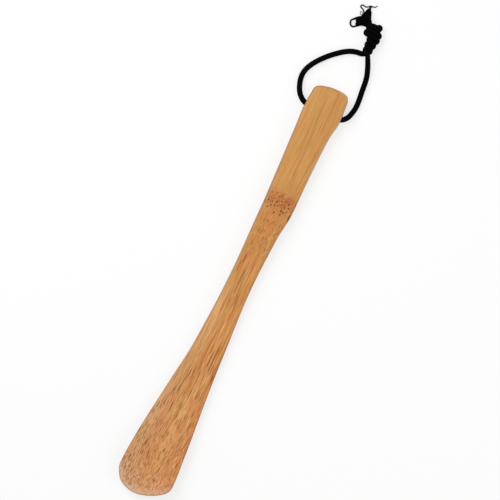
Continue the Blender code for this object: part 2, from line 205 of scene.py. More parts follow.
# %% A curve that never overshoots
def smooth_through(stations, at):
    places, values = zip(*sorted(stations))
    if at <= places[0]:
        return values[0]
    if at >= places[-1]:
        return values[-1]
    steps = [b - a for a, b in zip(places, places[1:])]
    rises = [(b - a) / step for a, b, step in zip(values, values[1:], steps)]
    slopes = [0.0]
    for before, after in zip(rises, rises[1:]):
        slopes.append(2 * before * after / (before + after) if before * after > 0 else 0.0)
    slopes.append(0.0)
    i = max(k for k in range(len(steps)) if places[k] <= at)
    t = (at - places[i]) / steps[i]
    start = values[i] * (1 + 2 * t) * (1 - t) ** 2 + slopes[i] * steps[i] * t * (1 - t) ** 2
    end = values[i + 1] * (3 - 2 * t) * t**2 + slopes[i + 1] * steps[i] * (t - 1) * t**2
    return start + end


print("a quarter of the way from 1 to 3:", smooth_through([(0.0, 1.0), (1.0, 3.0)], 0.25))

# %% Widths, leans and thicknesses down the horn
HORN_LENGTH = 0.350
HANDLE_Y = HORN_LENGTH / 2
TIP_Y = -HORN_LENGTH / 2


def stations(from_handle, from_tip):
    """Values in mm, at their mm from the handle's end and from the tip, as metres down the horn."""
    places = [(HANDLE_Y - at / 1000, value / 1000) for at, value in from_handle]
    return places + [(TIP_Y + at / 1000, value / 1000) for at, value in from_tip]


WIDTHS = stations(
    [(7, 29.2), (21, 31.2), (38, 28.1), (77, 25.6), (105, 24.5), (124, 22.0), (162, 20.0)],
    [(124, 25.6), (87, 32.8), (40, 42.4), (19, 45.0)],
)
LEANS = stations(
    [(0, 3.3), (3.5, 0.2), (7, -0.4), (21, -0.3), (38, -0.8), (77, 0), (105, 0.8), (124, 0), (162, 0)],
    [(124, 0.7), (87, 0), (40, -0.3), (12.3, 0), (0, -3.0)],
)
THICKNESSES = stations([(105, 10.0), (162, 8.8)], [(124, 6.4), (40, 3.2), (0, 2.1)])
EDGES_THINNER = stations([(124, 0.4)], [(87, 1.2), (0, 0.4)])
# each end's outline: how deep its rounding reaches, and how square its corners are
HANDLE_ROUNDING = (0.0083, 2.4)
TIP_ROUNDING = (0.0164, 1.80)
END_FLAT_SHARE = 0.004


def end_share(distance, depth, squareness):
    if distance >= depth:
        return 1.0
    inward = 1 - max(distance / depth, END_FLAT_SHARE)
    return (1 - inward**squareness) ** (1 / squareness)


def outline(y):
    half = smooth_through(WIDTHS, y) / 2
    half *= end_share(HANDLE_Y - y, *HANDLE_ROUNDING) * end_share(y - TIP_Y, *TIP_ROUNDING)
    middle = smooth_through(LEANS, y)
    return middle - half, middle + half


print("width at the waist, mm:", round(np.ptp(outline(HANDLE_Y - 0.162)) * 1000, 1))

# %% [markdown]
# ## The two faces
#
# Under the handle the back is planed flat, so the horn lies still on a table. Under the blade it
# keeps the round of the bamboo's stem, and the blade curls up a little toward its tip. The front
# face is nearly flat on the handle and hollow on the blade, because there it follows the stem's
# curve at a smaller thickness.

# %% Heights of the back and front faces
STEM_RADIUS = 0.045
BACK_ROUNDNESS = [(HANDLE_Y - 0.132, 0.0), (TIP_Y + 0.095, 1.0)]
TIP_RISE = 0.005
TIP_RISE_LENGTH = 0.080


def back_height(x, y):
    offset = x - smooth_through(LEANS, y)
    crown = STEM_RADIUS - math.sqrt(STEM_RADIUS**2 - offset**2)
    rise = TIP_RISE * max(0.0, 1 - (y - TIP_Y) / TIP_RISE_LENGTH) ** 2
    return crown * smooth_through(BACK_ROUNDNESS, y) + rise


def front_height(x, y):
    middle, half = smooth_through(LEANS, y), smooth_through(WIDTHS, y) / 2
    thickness = smooth_through(THICKNESSES, y)
    at_middle = back_height(middle, y) + thickness
    at_edge = back_height(middle + half, y) + thickness - smooth_through(EDGES_THINNER, y)
    return at_middle + (at_edge - at_middle) * ((x - middle) / half) ** 2


print("hollow of the blade, mm:", round((front_height(0.018, -0.14) - front_height(0, -0.14)) * 1000, 2))

# %% [markdown]
# ## Cross-sections
#
# A loft through many cross-sections gives clean rows of faces that follow the fibres. The rows
# stand closer together at the two rounded ends, and the points across are closer together at
# the long edges, where sandpaper has rounded the wood.

# %% Where the cross-sections and their points are
END_SECTIONS = 20
SECTION_STEP = 0.0015
EDGE_RADIUS = 0.0030
EDGE_POINTS = 8
FACE_POINTS = 34


def section_places():
    near_end = [1 - math.cos(math.pi / 2 * k / END_SECTIONS) for k in range(END_SECTIONS + 1)]
    tip_part = [TIP_Y + TIP_ROUNDING[0] * share for share in near_end]
    handle_part = [HANDLE_Y - HANDLE_ROUNDING[0] * share for share in reversed(near_end)]
    span = handle_part[0] - tip_part[-1]
    count = round(span / SECTION_STEP)
    return tip_part + [tip_part[-1] + span * k / count for k in range(1, count)] + handle_part


def points_across(y):
    left, right = outline(y)
    middle, half = (left + right) / 2, (right - left) / 2
    widest = half * EDGE_POINTS / (EDGE_POINTS + FACE_POINTS / 2)
    rounding = min(EDGE_RADIUS, widest)
    turns = [math.pi / 2 * k / EDGE_POINTS for k in range(EDGE_POINTS)]
    edge = [rounding * (1 - math.cos(turn)) for turn in turns]
    face = [(half - rounding) * (2 * k / FACE_POINTS - 1) for k in range(FACE_POINTS + 1)]
    offsets = [inset - half for inset in edge] + face + [half - inset for inset in reversed(edge)]
    return [middle + offset for offset in offsets]


places = section_places()
print("cross-sections:", len(places), "with", 2 * len(points_across(0.0)), "points each")

# %% [markdown]
# How far a point is from the outline decides how much the edge's rounding and the bevel round
# the tip take off there. The same measure later says where the painted highlights and painted
# shade along the rim go.

# %% How far inside the outline a point is
def depth_inside(points):
    edges = [outline(y) for y in places]
    loop = [(left, y) for (left, _), y in zip(edges, places)]
    loop += [(right, y) for (_, right), y in reversed(list(zip(edges, places)))]
    start = np.array(loop)
    run = np.roll(start, -1, axis=0) - start
    found = []
    for point in points:
        along = ((point - start) * run).sum(1) / (run * run).sum(1)
        nearest = start + np.clip(along, 0, 1)[:, None] * run
        found.append(float(np.linalg.norm(nearest - point, axis=1).min()))
    return found


EDGE_ROUND_SHARE = 0.46
TIP_BEVEL_WIDTH = 0.0028
TIP_BEVEL_DROP = 0.0007
TIP_BEVEL_REACH = 0.018


def bevelled(depth, y):
    """How far the bevel round the tip has lowered the front face."""
    fading = min(1.0, max(0.0, 1 - (y - TIP_Y) / TIP_BEVEL_REACH))
    return TIP_BEVEL_DROP * fading * max(0.0, 1 - depth / TIP_BEVEL_WIDTH)


def dropped(depth, radius):
    """How far the edge's rounding has lowered a face."""
    if depth >= radius:
        return 0.0
    return radius - math.sqrt(radius**2 - (radius - depth) ** 2)


print("half the blade's width, mm:", round(depth_inside([np.array((0, -0.14))])[0] * 1000, 1))

# %% [markdown]
# ## The grain's own measure
#
# A bamboo stem is full of dark bundles of fibre that run along it. A face cut parallel to them
# shows long streaks. A face cut at a slant goes in and out of them, and shows short dashes. That
# is why the handle is streaked and the blade is dashed, with the shortest dashes near its tip.
#
# So each point of the mesh carries its place in the stem: across, along, and how deep in the
# wall. On the front face the depth is the sum of the cut's slant from the tip to there, and the
# slants are set here. They are steep on the blade, and again for a stretch below the stem's
# joint, where the fibres bend. A material can then draw the bundles as round rods in the wall,
# and the streaks and dashes come out by themselves.

# %% How steeply the front face cuts the fibres, down the horn
SLANTS = [
    (0.175, 0.012), (0.095, 0.014), (0.068, 0.170), (0.042, 0.150), (0.015, 0.024),
    (-0.030, 0.026), (-0.070, 0.052), (-0.110, 0.090), (-0.150, 0.150), (-0.175, 0.190),
]
SLANT_STEP = 0.001
# each sway of the grain: how wide it is, its pace along and across the horn, and its start
GRAIN_SWAYS = [(0.0007, 31, 0, 0.6), (0.0003, 83, 60, 0)]
slant_places = np.arange(-0.18, 0.18, SLANT_STEP)
slant_sums = np.cumsum([smooth_through(SLANTS, y) * SLANT_STEP for y in slant_places])


def waves(kinds, x, y):
    return sum(size * math.sin(y * along + x * across + start) for size, along, across, start in kinds)


def stem_place(x, y, z):
    depth = np.interp(y, slant_places, slant_sums) + z - front_height(x, y)
    return x + waves(GRAIN_SWAYS, x, y), y, float(depth)


print("depth cut through from end to end, mm:", round(float(slant_sums[-1]) * 1000, 1))

# %% Loft the horn
# the slight waves that hand sanding leaves, each written in the same way
SANDING = [(0.00004, 190, 70, 0), (0.00004, 83, -260, 1.3)]


def skin(mesh, rings):
    """Four-sided faces between each ring of points and the next."""
    for ring, following in zip(rings, rings[1:]):
        for k in range(len(ring)):
            after = (k + 1) % len(ring)
            mesh.faces.new((ring[k], ring[after], following[after], following[k]))


def loft_horn():
    mesh = bmesh.new()
    across = mesh.verts.layers.float_vector.new("stem_place")
    rim = mesh.verts.layers.float.new("rim")
    rings = []
    for y in places:
        xs = points_across(y)
        depths = depth_inside([np.array((x, y)) for x in xs])
        front, back = [], []
        for x, depth in zip(xs, depths):
            top, under = front_height(x, y) - bevelled(depth, y), back_height(x, y)
            drop = dropped(depth, min(EDGE_RADIUS, EDGE_ROUND_SHARE * (top - under)))
            top += waves(SANDING, x, y) * min(1.0, depth / EDGE_RADIUS)
            for row, z in ((front, top - drop), (back, under + drop)):
                vert = mesh.verts.new((x, y, z))
                vert[across] = stem_place(x, y, z)
                vert[rim] = depth
                row.append(vert)
        rings.append(front + back[::-1])
    skin(mesh, rings)
    for ring in (rings[0], rings[-1]):
        for k in range(len(ring) // 2 - 1):
            mesh.faces.new((ring[k], ring[k + 1], ring[-k - 2], ring[-k - 1]))
    return mesh


def add_piece(name, mesh, sharp_angle=40):
    bmesh.ops.recalc_face_normals(mesh, faces=mesh.faces)
    data = bpy.data.meshes.new(name)
    mesh.to_mesh(data)
    mesh.free()
    data.shade_smooth()
    data.set_sharp_from_angle(angle=math.radians(sharp_angle))
    piece = bpy.data.objects.new(name, data)
    bpy.context.scene.collection.objects.link(piece)
    return piece


bamboo_horn = add_piece("bamboo_horn", loft_horn())
print("horn faces:", len(bamboo_horn.data.polygons))

# %% [markdown]
# ## The bore
#
# The hole for the cord goes across the handle from edge to edge, and its two mouths are rounded
# so that they don't cut the cord. It is drilled with a boolean: a form like the drill's path is
# taken away from the horn.

# %% Drill the cord's bore
BORE_Y = HANDLE_Y - 0.020
BORE_Z = 0.005
BORE_RADIUS = 0.00275
BORE_SIDES = 40
MOUTH_RADIUS = 0.0012
MOUTH_TURN = math.radians(60)
MOUTH_STEPS = 4
OUTSIDE = 0.001
left_mouth, right_mouth = outline(BORE_Y)


def drill_form():
    turned = []
    for k in range(MOUTH_STEPS + 1):
        angle = MOUTH_TURN * k / MOUTH_STEPS
        depth = MOUTH_RADIUS * (1 - math.sin(angle))
        turned.append((depth, BORE_RADIUS + MOUTH_RADIUS * (1 - math.cos(angle))))
    depth, radius = turned[-1]
    turned.append((-OUTSIDE, radius + (depth + OUTSIDE) * math.tan(MOUTH_TURN)))
    profile = [(left_mouth + depth, radius) for depth, radius in reversed(turned)]
    profile += [(right_mouth - depth, radius) for depth, radius in turned]
    mesh = bmesh.new()
    turns = [2 * math.pi * k / BORE_SIDES for k in range(BORE_SIDES)]
    rings = [
        [mesh.verts.new((x, BORE_Y + radius * math.cos(a), BORE_Z + radius * math.sin(a))) for a in turns]
        for x, radius in profile
    ]
    skin(mesh, rings)
    mesh.faces.new(reversed(rings[0]))
    mesh.faces.new(rings[-1])
    return mesh


drill = add_piece("drill", drill_form())
cut = bamboo_horn.modifiers.new("bore", "BOOLEAN")
cut.operation = "DIFFERENCE"
cut.solver = "EXACT"
cut.object = drill
bpy.context.view_layer.update()
drilled = bpy.data.meshes.new_from_object(
    bamboo_horn.evaluated_get(bpy.context.evaluated_depsgraph_get())
)
bamboo_horn.modifiers.clear()
bamboo_horn.data = drilled
bpy.data.objects.remove(drill)
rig.ride(bamboo_horn, "horn")
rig.replaces(bamboo_horn, "horn")
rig.slot(bamboo_horn, "bamboo")
print("faces after drilling:", len(bamboo_horn.data.polygons))

# %% [markdown]
# ## Small helpers for materials
#
# A material is a web of nodes. Written out one by one they fill pages, so a few helpers keep the
# recipes short. They add a node and link its inputs, do arithmetic, blend two colours, turn a
# range of values into a share from 0 to 1, draw random patches, and fill in the shader.

# %% Helpers that add nodes
class Recipe:
    def __init__(self, owner):
        owner.use_nodes = True
        self.owner, self.tree = owner, owner.node_tree

    def put(self, socket, value):
        if isinstance(value, bpy.types.NodeSocket):
            self.tree.links.new(value, socket)
        else:
            socket.default_value = value

    def node(self, kind, inputs=None, **settings):
        """A new node's outputs. The inputs are given by name, or in their order."""
        made = self.tree.nodes.new(kind)
        for name, value in settings.items():
            setattr(made, name, value)
        inputs = inputs if isinstance(inputs, dict) else dict(enumerate(inputs or ()))
        for name, value in inputs.items():
            self.put(made.inputs[name], value)
        return made.outputs

    def math(self, operation, *values):
        return self.node("ShaderNodeMath", values, operation=operation)[0]

    def times(self, first, *others):
        for other in others:
            first = self.math("MULTIPLY", first, other)
        return first

    def vectors(self, operation, *values):
        return self.node("ShaderNodeVectorMath", values, operation=operation)

    def parts(self, vector):
        return self.node("ShaderNodeSeparateXYZ", [vector])

    def blend(self, share, first, second):
        return self.node("ShaderNodeMix", {0: share, 6: first, 7: second}, data_type="RGBA")[2]

    def between(self, value, start, end, low=0.0, high=1.0):
        limits = [value, start, end, low, high]
        return self.node("ShaderNodeMapRange", limits, interpolation_type="SMOOTHSTEP")[0]

    def noise(self, place, stretch, detail=2.0, roughness=0.5):
        place = self.vectors("MULTIPLY", place, stretch)[0]
        given = {"Vector": place, "Scale": 1.0, "Detail": detail, "Roughness": roughness}
        return self.node("ShaderNodeTexNoise", given)["Fac"]

    def coat(self, colour, roughness, gloss, relief, strength, depth):
        """Fill in the material's own shader, with a fine relief."""
        bumps = self.node("ShaderNodeBump", {"Height": relief, "Strength": strength, "Distance": depth})
        shader = self.tree.nodes["Principled BSDF"].inputs
        self.put(shader["Base Color"], colour)
        self.put(shader["Roughness"], roughness)
        self.put(shader["Specular IOR Level"], gloss)
        self.put(shader["Normal"], bumps["Normal"])


def tone(red, green, blue):
    """A colour as read off a screen, from 0 to 255, as the light that it stands for."""
    shares = [c / 255 for c in (red, green, blue)]
    light = [s / 12.92 if s <= 0.04045 else ((s + 0.055) / 1.055) ** 2.4 for s in shares]
    return (*light, 1.0)


print("honey as light:", [round(c, 3) for c in tone(203, 149, 87)])

# %% [markdown]
# ## Bamboo
#
# Bamboo isn't wood with rings. Its ground is a pale, even tissue, and in it stand the dark
# bundles of fibre. This stem was steamed until it turned honey brown, then sanded and waxed, so
# it has a low sheen, duller where a bundle has been cut open. The handle is the most yellow, the
# blade a deeper orange brown, and the tip paler again.
#
# An image could be projected on it, but it would smear round the edges. The bundles are drawn
# instead as a pattern of cells in the two measures across and deep, which were stored in the
# mesh, so the same bundle shows on the face and goes on round the edge.

# %% Bamboo: the ground colour
bamboo = Recipe(bpy.data.materials.new("bamboo_steamed"))
stem = bamboo.node("ShaderNodeAttribute", attribute_name="stem_place")["Vector"]
here = bamboo.node("ShaderNodeTexCoord")["Object"]
x_here, y_here, z_here = bamboo.parts(here)
between, times = bamboo.between, bamboo.times
GROUND = [
    (0.175, tone(196, 143, 76)), (0.100, tone(200, 144, 76)), (0.070, tone(192, 131, 66)),
    (0.020, tone(198, 137, 70)), (-0.060, tone(201, 142, 76)), (-0.120, tone(199, 133, 75)),
    (-0.155, tone(203, 138, 80)), (-0.175, tone(207, 151, 99)),
]
RAMP_SHIFT = 0.5
bamboo.colour = bamboo.node("ShaderNodeValToRGB", [bamboo.math("ADD", y_here, RAMP_SHIFT)])["Color"]
stops = bamboo.colour.node.color_ramp.elements
stops.remove(stops[1])
for k, (y, colour) in enumerate(reversed(GROUND)):
    stop = stops[0] if k == 0 else stops.new(y + RAMP_SHIFT)
    stop.position = y + RAMP_SHIFT
    stop.color = colour
print("ground colours down the horn:", len(stops))

# %% [markdown]
# Light and dark bands run along the strip, most plainly where the waist widens to the blade. The
# blade's left side is painted paler, a painted reflection of light on that wall, and its right
# side a deeper orange. The tip is painted paler too, a painted sheen on its upturned end. Each of
# these is one more tint on the ground. A noise or a place on the horn says where it takes.

# %% Bamboo: broad bands and patches
def tint(share, colour):
    """Mix a share of a colour into the horn's colour so far."""
    bamboo.colour = bamboo.blend(share, bamboo.colour, tone(*colour))


def tint_along(share, colour, value, start, end):
    """Tint it more and more as a value goes from start to end, up to the share."""
    tint(times(between(value, start, end), share), colour)


grain_share = between(y_here, 0.090, -0.020, 0.28, 0.84)
band_share = times(
    grain_share,
    between(y_here, 0.030, -0.040, 0.60, 1.0),
    between(y_here, -0.140, -0.105, 0.45, 1.0),
)
bands = bamboo.noise(stem, (300, 9, 60), 3.0)
tint_along(band_share, (224, 172, 112), bands, 0.50, 0.62)
tint_along(band_share, (185, 110, 44), bands, 0.49, 0.34)
patch_share = between(y_here, 0.095, 0.075, 0.24, 0.50)
patches = bamboo.noise(here, (130, 60, 130))
tint_along(patch_share, (210, 130, 74), patches, 0.52, 0.66)
tint_along(patch_share, (192, 144, 70), patches, 0.46, 0.32)
blade_share = between(y_here, 0.030, -0.020)
# painted reflection: the blade's left side is painted paler; the right side is painted a deeper orange
tint_along(times(blade_share, 0.45), (212, 166, 124), x_here, 0.004, -0.022)
tint_along(times(blade_share, 0.38), (194, 116, 54), x_here, 0.000, 0.017)
# painted sheen: the upturned tip is painted paler
tint_along(0.50, (208, 160, 122), y_here, -0.158, -0.174)
print("nodes for the broad colours:", len(bamboo.tree.nodes))

# %% Bamboo: fine fibres
fine = bamboo.noise(stem, (2400, 60, 2400), 2.0, 0.6)
middle = bamboo.noise(stem, (1450, 34, 1300), 3.0, 0.6)
tint_along(0.35, (170, 104, 48), fine, 0.50, 0.75)
tint_along(grain_share, (164, 92, 32), middle, 0.53, 0.66)
tint_along(grain_share, (223, 168, 108), middle, 0.47, 0.33)
print("nodes with the fine fibres:", len(bamboo.tree.nodes))

# %% [markdown]
# Here and there one bundle after another comes to the surface, and they make a thin dark line,
# slightly crooked. On the handle there are only a few, and they are faint. Below the joint they
# are shorter and darker, and stand in small groups. Their places are listed one by one, where the
# photograph has them.

# %% Bamboo: thin dark lines
LINES = [
    # x where it starts, x where it ends, the two y, half its width, all in mm, and how dark
    (-1.6, 1.2, 158, 96, 0.50, 0.22), (4.6, 5.8, 176, 136, 0.45, 0.22),
    (-3.6, -4.4, 140, 118, 0.45, 0.22), (8.6, 8.0, 126, 88, 0.35, 0.22),
    (2.6, 3.4, 108, 86, 0.50, 0.22), (-5.0, -5.0, 55, 47.5, 0.31, 0.58),
    (0.9, 1.1, 48.5, 43, 0.31, 0.64), (5.6, 6.2, 42, 34.5, 0.39, 0.58),
    (-5.4, -5.2, 32.5, 21, 0.35, 0.77), (-6.6, -6.2, 25.5, 12.5, 0.31, 0.51),
    (-0.7, -1.2, 21, -4.0, 0.39, 0.64), (1.4, 1.6, 18.5, -8.5, 0.35, 0.51),
    (3.2, 3.4, 0.5, -13.5, 0.35, 0.58), (-5.4, -4.4, -8.0, -22, 0.27, 0.45),
    (2.7, 3.0, -42.5, -54.5, 0.35, 0.77), (5.1, 5.4, -48, -64.5, 0.39, 0.92),
    (7.6, 7.9, -43.5, -68, 0.35, 0.87), (9.5, 9.9, -56.5, -69, 0.35, 0.74),
    (0.5, 0.8, -59, -69, 0.31, 0.51), (-4.8, -4.6, -67.5, -78.5, 0.35, 0.64),
    (-6.6, -6.4, -66, -74, 0.31, 0.51), (13.2, 13.6, -65, -73.5, 0.35, 0.83),
    (7.6, 7.8, -81, -90.5, 0.35, 0.64), (11.4, 11.8, -80, -89.5, 0.35, 0.64),
    (-16, -16.4, -102, -108.5, 0.39, 0.83), (13.3, 13.8, -107, -117, 0.35, 0.64),
]
LINE_TONE = (112, 50, 18)
CROOKEDNESS = 0.0022
LONGEST_FADE = 5.0
crooked = bamboo.math("MULTIPLY_ADD", bamboo.noise(here, (60, 110, 60)), CROOKEDNESS, x_here)
for from_x, to_x, from_y, to_y, half_width, darkness in LINES:
    slope = (to_x - from_x) / (to_y - from_y)
    start_x = (from_x - slope * from_y) / 1000 + CROOKEDNESS / 2
    line_x = bamboo.math("MULTIPLY_ADD", y_here, slope, start_x)
    beside = bamboo.math("ABSOLUTE", bamboo.math("SUBTRACT", crooked, line_x))
    fade = min(LONGEST_FADE, (from_y - to_y) / 3) / 1000
    share = times(
        between(y_here, to_y / 1000, to_y / 1000 + fade),
        darkness,
        between(y_here, from_y / 1000, from_y / 1000 - fade),
    )
    tint_along(share, LINE_TONE, beside, 1.7 * half_width / 1000, 0.3 * half_width / 1000)
print("thin dark lines:", len(LINES))

# %% [markdown]
# The dark bundles are cells of a flat random pattern, with one cell for each bundle. A bundle is
# dark near its cell's middle, and each has its own size and darkness. They are plain on the
# blade and just below the joint, and faint on the handle. A noise breaks them here and there.

# %% Bamboo: the bundles, as streaks and dashes
BUNDLE_SPACING = 0.0011


def random_cells(place, spacing):
    """How far from the middle of a random cell a place is, and the cell's own random numbers."""
    given = {"Vector": place, "Scale": 1 / spacing, "Randomness": 1.0}
    made = bamboo.node("ShaderNodeTexVoronoi", given, voronoi_dimensions="2D")
    return made["Distance"], bamboo.parts(made["Color"])


across, _, deep = bamboo.parts(stem)
far, chance = random_cells(bamboo.node("ShaderNodeCombineXYZ", [across, deep])[0], BUNDLE_SPACING)
size = bamboo.math("MULTIPLY_ADD", chance[0], 0.18, 0.16)
size = times(size, between(y_here, -0.132, -0.150, 1.0, 1.30))
bundle = between(bamboo.math("DIVIDE", far, size), 1.20, 0.40)
darkness = between(chance[1], 0.10, 0.95, 0.45, 1.0)
below_joint = times(between(y_here, 0.068, 0.062, 0.0, 0.80), between(y_here, 0.026, 0.036))
plainness = bamboo.math("MAXIMUM", between(y_here, -0.010, -0.090, 0.34, 1.0), below_joint)
broken = between(bamboo.noise(stem, (420, 70, 420), 1.0), 0.36, 0.58, 0.45, 1.0)
bundle_share = times(bundle, darkness, plainness, broken)
tint(times(bundle_share, 0.94), (114, 55, 21))
print("bundles side by side across the waist:", round(np.ptp(outline(0.013)) / BUNDLE_SPACING))

# %% [markdown]
# At the stem's joint a wall closes the hollow, and the bundles turn across into it. On a face
# that is planed through the joint they show as dark dots in a reddish band. The larger dots are
# listed one by one, and random cells fill in small ones. The scar where a leaf sheath sat shows at
# the two edges as a dark mark.

# %% Bamboo: the joint
joint_wave = bamboo.math("MULTIPLY_ADD", bamboo.noise(here, (330, 330, 330)), 0.008, -0.004)
joint_y = bamboo.math("ADD", y_here, joint_wave)
joint_band = times(between(joint_y, 0.0858, 0.0822), between(joint_y, 0.0715, 0.0785))
tint(times(joint_band, 0.50), (184, 107, 50))
joint_patches = bamboo.noise(here, (480, 480, 480), 3.0)
tint_along(times(joint_band, 0.66), (154, 82, 42), joint_patches, 0.45, 0.60)
print("nodes with the joint:", len(bamboo.tree.nodes))

# %% Bamboo: the dots in the joint
JOINT_DOTS = [
    # x, y and radius in mm
    (-6.7, 70.2, 0.8), (-5.0, 72.3, 0.9), (-8.4, 75.4, 0.7), (-5.1, 75.3, 0.8),
    (-1.7, 76.4, 0.9), (-2.1, 73.1, 0.8), (0.2, 73.8, 0.8), (2.4, 75.6, 0.7),
    (5.5, 74.8, 1.0), (8.6, 75.7, 0.8), (4.4, 71.3, 1.2), (6.3, 70.7, 0.9),
    (-0.3, 68.1, 1.0), (4.6, 68.3, 0.9), (8.1, 72.3, 0.7), (-1.7, 80.8, 0.7),
    (1.4, 78.7, 0.7), (4.4, 79.6, 0.6), (-7.2, 78.0, 0.6), (7.5, 78.6, 0.7),
    (-1.8, 60.4, 0.7), (-9.6, 72.0, 0.6),
]
DOT_SHAKE = (0.0009, 0.0012, 0.0)
DOT_SQUASH = (1.0, 0.75, 0.0)
FAR_OFF = 9.0
SMALL_DOT_SPACING = 0.0015
uneven = bamboo.node("ShaderNodeTexNoise", {"Vector": here, "Scale": 700.0, "Detail": 1.0})["Color"]
shaken = bamboo.vectors("MULTIPLY_ADD", uneven, DOT_SHAKE, here)[0]
shaken = bamboo.vectors("MULTIPLY", shaken, DOT_SQUASH)[0]
nearest_dot = FAR_OFF
for x, y, radius in JOINT_DOTS:
    centre = (x / 1000 + DOT_SHAKE[0] / 2, (y / 1000 + DOT_SHAKE[1] / 2) * DOT_SQUASH[1], 0.0)
    far = bamboo.vectors("DISTANCE", shaken, centre)["Value"]
    nearest_dot = bamboo.math("MINIMUM", bamboo.math("DIVIDE", far, radius / 1000), nearest_dot)
dot = between(nearest_dot, 1.05, 0.45)
tint(times(dot, 0.80), (84, 38, 14))
far, chance = random_cells(shaken, SMALL_DOT_SPACING)
far = bamboo.math("DIVIDE", far, bamboo.math("MULTIPLY_ADD", chance[0], 0.24, 0.08))
dotted = times(
    between(joint_y, 0.0850, 0.0800, 0.0, 0.75),
    between(joint_y, 0.0650, 0.0710),
    between(chance[1], 0.25, 0.80),
)
tint_along(dotted, (104, 48, 20), far, 1.2, 0.3)
print("dots placed by hand in the joint:", len(JOINT_DOTS))

# %% Bamboo: the scars at the joint's two edges
# each scar is a soft oval: where its middle is, and its two radii
SCARS = [((0.0121, 0.0690), (0.0011, 0.0038)), ((-0.0109, 0.0732), (0.0009, 0.0016))]
for centre, radii in SCARS:
    far = []
    for at, its_middle, radius in zip((x_here, y_here), centre, radii):
        offset = bamboo.math("DIVIDE", bamboo.math("SUBTRACT", at, its_middle), radius)
        far.append(times(offset, offset))
    tint_along(0.75, (96, 40, 22), bamboo.math("ADD", *far), 1.0, 0.2)
print("scars at the edges:", len(SCARS))

# %% [markdown]
# The rims carry painted light and shade. Round the tip a pale band along the rim is a painted
# highlight on its rounded, upturned edge, and pale and dark flecks are scattered there. A thin
# dark line along the rim is painted shade on the rounding. The left edge is painted greyer as
# shade, and the handle's right edge is painted pale as a highlight. Each mark follows how far
# inside the outline a point is. The marks on the thick edges keep to the front, so that the side
# faces, which are all rim, don't take their colour.

# %% Bamboo: the tip's painted highlight and its flecks
rim = bamboo.node("ShaderNodeAttribute", attribute_name="rim")["Fac"]
# painted highlight: a pale band along the rim round the tip, for its rounded, upturned edge
painted_tip_highlight = times(between(y_here, -0.152, -0.166), between(x_here, 0.012, -0.006, 0.30, 0.78))
tint_along(painted_tip_highlight, (222, 186, 158), rim, 0.0050, 0.0010)
flecked = times(
    between(y_here, -0.146, -0.162, 0.0, 0.70),
    between(x_here, 0.008, -0.008, 0.35, 1.0),
)
flecks = bamboo.noise(here, (1700, 380, 1700), 1.0)
tint_along(flecked, (228, 184, 150), flecks, 0.52, 0.68)
tint_along(flecked, (118, 62, 34), flecks, 0.38, 0.31)
print("nodes with the worn tip:", len(bamboo.tree.nodes))

# %% Bamboo: painted shade on the rim and the left edge, and a painted highlight on the right one
near_front = between(z_here, 0.0045, 0.0075)
# painted shade: a thin dark line along the rounded rim, stronger on the blade and along the left front edge
left_rim_shade = times(near_front, between(x_here, 0.002, -0.006, 0.0, 0.55))
painted_rim_shade = bamboo.math("MAXIMUM", between(y_here, -0.020, -0.090, 0.20, 0.55), left_rim_shade)
tint_along(painted_rim_shade, (138, 98, 68), rim, 0.0012, 0.0)
# painted shade: the left edge, from the handle down to the blade, is painted greyer and darker
painted_left_shade = times(
    between(y_here, 0.150, 0.130),
    between(x_here, 0.0, -0.005, 0.0, 0.62),
    between(y_here, -0.065, -0.045),
    near_front,
)
tint_along(painted_left_shade, (168, 132, 92), rim, 0.0034, 0.0)
# painted highlight: the handle's right edge is painted pale on its rounding
painted_right_highlight = times(
    between(y_here, 0.096, 0.112, 0.0, 0.60),
    between(x_here, 0.002, 0.007),
    between(z_here, 0.0060, 0.0085),
)
tint_along(painted_right_highlight, (212, 182, 148), rim, 0.0022, 0.0002)
print("nodes with the edges:", len(bamboo.tree.nodes))

# %% Bamboo: sheen and fine relief
GLOSS = 0.30
RELIEF_STRENGTH, RELIEF_DEPTH = 0.7, 0.00006
dull = bamboo.math("MULTIPLY_ADD", fine, 0.14, 0.38)
roughness = bamboo.math("MULTIPLY_ADD", bundle_share, 0.18, dull)
relief = bamboo.math("MULTIPLY_ADD", bundle_share, -0.8, times(fine, 0.5))
relief = bamboo.math("MULTIPLY_ADD", dot, -0.8, relief)
bamboo.coat(bamboo.colour, roughness, GLOSS, relief, RELIEF_STRENGTH, RELIEF_DEPTH)
bamboo_horn.data.materials.clear()
bamboo_horn.data.materials.append(bamboo.owner)
print("bamboo nodes:", len(bamboo.tree.nodes))

# %% [markdown]
# ## The cord's path
#
# The cord is 4.3 mm thick. From the middle of the bore each half comes out of its mouth, bends up
# beside the handle and lies on the table on its way to the knot. The points below are the packed
# model's, in mm, apart from the first two of the left cut end, which are drawn in with the
# knot. They are measured from the middle of the bore, but a bend's x from its mouth.

# %% Points of the two halves
CORD_RADIUS = 0.00215
KNOT_RADIUS = 0.0017
ABOVE_TABLE = 0.0001


def points_of(places, radius=CORD_RADIUS):
    """Points as metres. One that is given without a height lies on the table."""
    lying = (radius + ABOVE_TABLE - BORE_Z) * 1000
    return [tuple(c / 1000 for c in (*place, lying)[:3]) for place in places]


